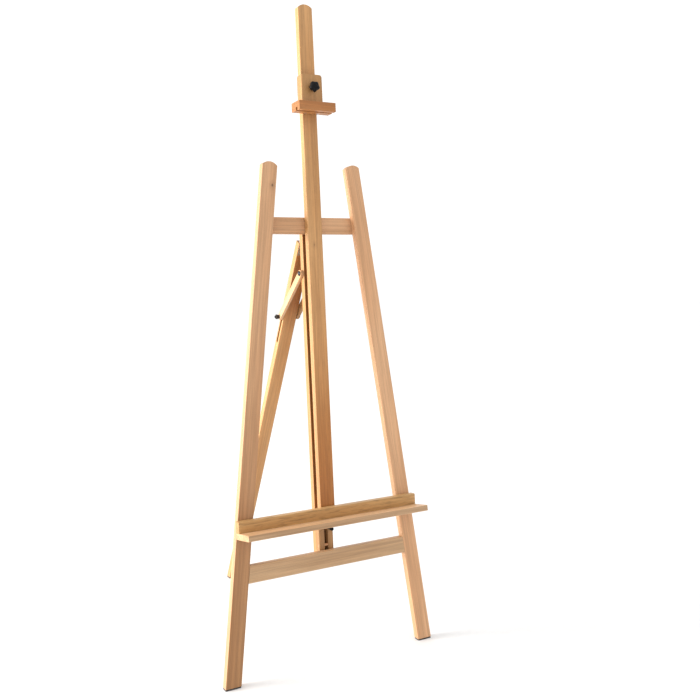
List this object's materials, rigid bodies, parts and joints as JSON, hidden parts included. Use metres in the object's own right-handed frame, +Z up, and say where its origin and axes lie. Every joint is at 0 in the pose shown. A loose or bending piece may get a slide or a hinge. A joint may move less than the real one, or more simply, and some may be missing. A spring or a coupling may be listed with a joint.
{
  "type": "artist easel",
  "caption": "Free-standing wooden artist easel: splayed front legs, hinged rear leg with a folding strut, sliding mast with tray, and a screw clamp for the canvas top.",
  "frame": {"origin": "on the floor, at the centre of the bounding box in X and Y", "axes": "+Z up; +X to the right seen from the front; the front, with tray and ledge, faces -Y; the rear leg reaches to +Y"},
  "size_m": [0.6102, 0.755, 1.7292],
  "materials": {
    "beech": "satin clear oil on planed beech",
    "zinc_steel": "bright zinc plate",
    "black_steel": "black plated, low sheen",
    "brass": "turned, unpolished",
    "knob_plastic": "moulded black, semi-gloss",
    "foot_rubber": "matt"
  },
  "bodies": {
    "frame": {"left_leg": "beech", "right_leg": "beech", "upper_crossbar": "beech", "lower_crossbar": "beech", "back_post": "beech", "post_spacer": "beech", "slot_stop_dowel": "beech", "crossbar_dowels": "beech", "crossbar_screws": "zinc_steel", "post_screws": "zinc_steel", "front_foot_pads": "foot_rubber", "hinge_post_leaf": "zinc_steel", "hinge_pin": "zinc_steel", "hinge_post_screws": "zinc_steel", "strut_pivot_bolt": "black_steel", "strut_pivot_nut": "black_steel"},
    "mast_and_tray": {"mast": "beech", "mast_runner": "beech", "runner_screws": "zinc_steel", "tray_back_board": "beech", "tray_ledge": "beech", "tray_screws": "zinc_steel", "ledge_screws": "zinc_steel", "mast_clamp_bolt": "black_steel", "mast_clamp_washer": "zinc_steel"},
    "mast_knob": {"mast_clamp_knob": "knob_plastic"},
    "top_clamp": {"clamp_block": "beech", "canvas_bar": "beech", "clamp_saddle": "zinc_steel", "saddle_screws": "zinc_steel", "bar_screws": "zinc_steel", "clamp_insert": "brass"},
    "top_knob": {"top_clamp_knob": "knob_plastic", "top_clamp_stud": "zinc_steel"},
    "rear_leg_unit": {"rear_leg": "beech", "rear_foot_pad": "foot_rubber", "hinge_leg_leaf": "zinc_steel", "hinge_leg_screws": "zinc_steel"},
    "strut": {"strut_left_cheek": "beech", "strut_right_cheek": "beech", "strut_lock_bolt": "black_steel", "strut_washers": "zinc_steel"},
    "strut_nut": {"strut_thumb_nut": "knob_plastic"}
  },
  "joints": [
    {"name": "mast_slide", "type": "slide", "parent": "frame", "child": "mast_and_tray", "axis": [0, 0.0941, 0.9956], "range_m": [0, 0.6]},
    {"name": "mast_knob_turn", "type": "hinge", "parent": "mast_and_tray", "child": "mast_knob", "pos_m": [0, -0.28817, 0.35447], "axis": [0, -0.9956, 0.0941], "range_deg": [0, 360]},
    {"name": "top_clamp_slide", "type": "slide", "parent": "mast_and_tray", "child": "top_clamp", "axis": [0, 0.0941, 0.9956], "range_m": [-0.28, 0.165]},
    {"name": "top_knob_turn", "type": "hinge", "parent": "top_clamp", "child": "top_knob", "pos_m": [0, -0.20953, 1.50518], "axis": [0, -0.9956, 0.0941], "range_deg": [0, 360]},
    {"name": "rear_leg_fold", "type": "hinge", "parent": "frame", "child": "rear_leg_unit", "pos_m": [0, -0.17073, 1.10174], "axis": [1, 0, 0], "range_deg": [-31, 0]},
    {"name": "strut_fold", "type": "hinge", "parent": "frame", "child": "strut", "pos_m": [0, -0.19037, 1.01721], "axis": [1, 0, 0], "range_deg": [-45.08, 0]},
    {"name": "strut_nut_turn", "type": "hinge", "parent": "strut", "child": "strut_nut", "pos_m": [-0.035, -0.06052, 0.89255], "axis": [-1, 0, 0], "range_deg": [0, 360]}
  ],
  "couplings": [
    {"joint": "strut_fold", "follows": "rear_leg_fold", "ratio": 1.4445}
  ]
}
